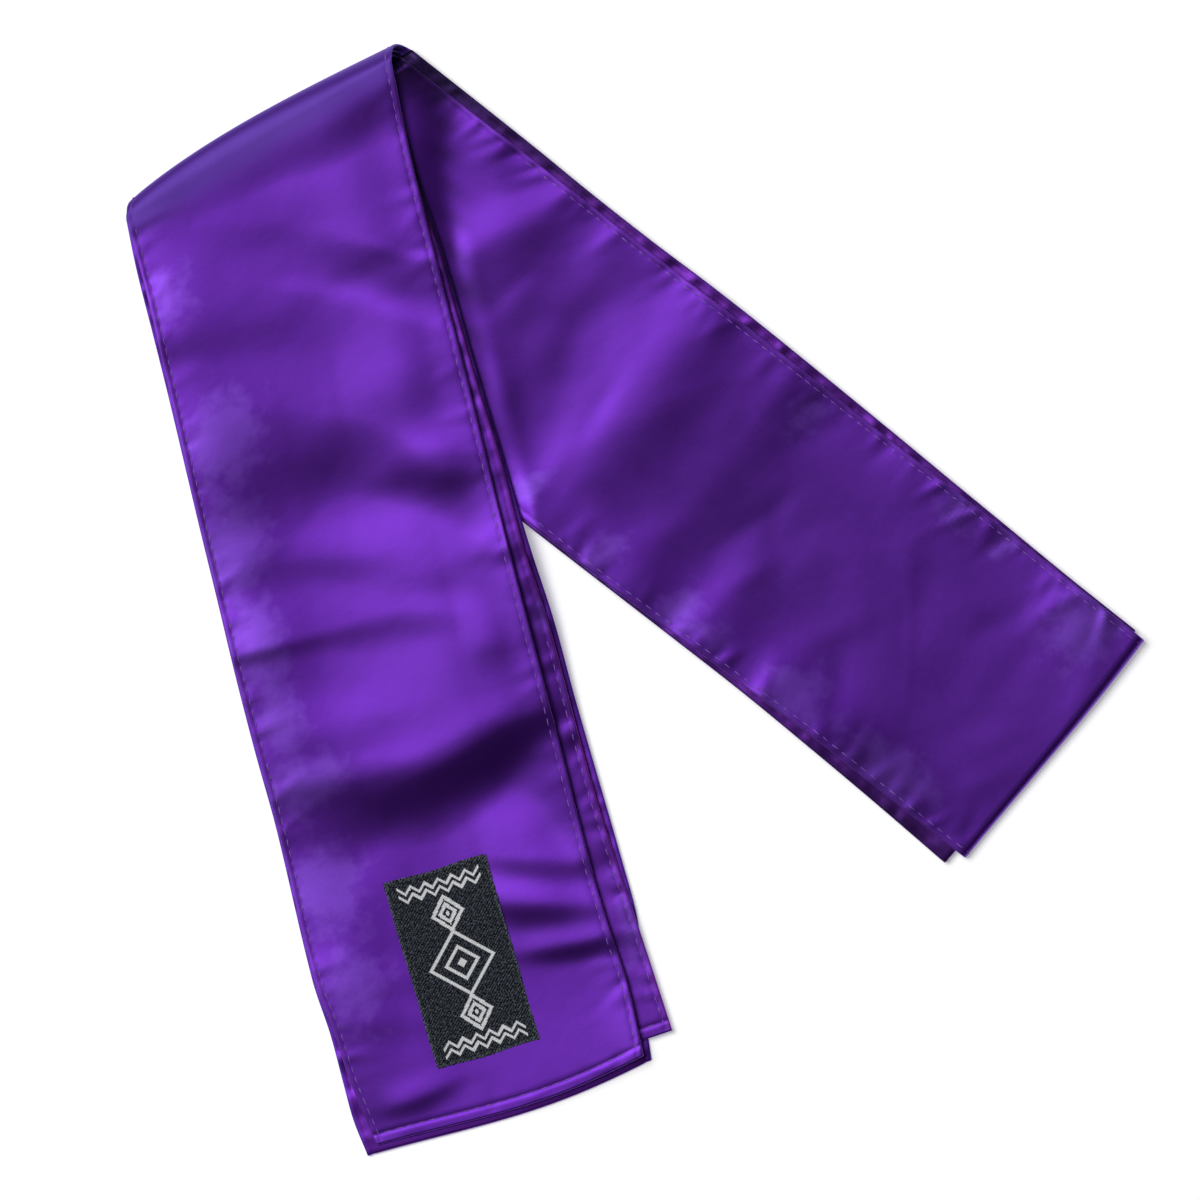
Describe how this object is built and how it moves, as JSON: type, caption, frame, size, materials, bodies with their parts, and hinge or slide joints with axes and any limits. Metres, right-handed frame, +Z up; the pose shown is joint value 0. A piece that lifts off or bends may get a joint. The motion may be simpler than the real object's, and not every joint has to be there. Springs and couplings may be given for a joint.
{
  "type": "folded satin sash",
  "caption": "Long double-ply satin sash with stitched edges and a woven label, folded into a flat strip and turned back on itself at a slant, lying flat.",
  "frame": {"origin": "on the surface the sash lies on, under the middle of the whole folded sash", "axes": "+Z up; seen from above, +X to the right and +Y towards the slanted fold, with the hem near -Y and the back limb's end near +X"},
  "size_m": [0.3772, 0.4114, 0.012],
  "materials": {
    "satin": "purple satin weave with a soft sheen",
    "satin_edges": "purple satin, folded edges in shade",
    "label_cloth": "black woven label, fine twill",
    "thread": "lilac sewing thread",
    "label_thread": "black sewing thread"
  },
  "bodies": {
    "root": {"front_top_stretch": "satin", "front_second_stretch": "satin", "front_lower_fold": "satin_edges", "back_top_stretch": "satin", "back_lower_fold": "satin_edges", "woven_label": "label_cloth"}
  },
  "joints": []
}
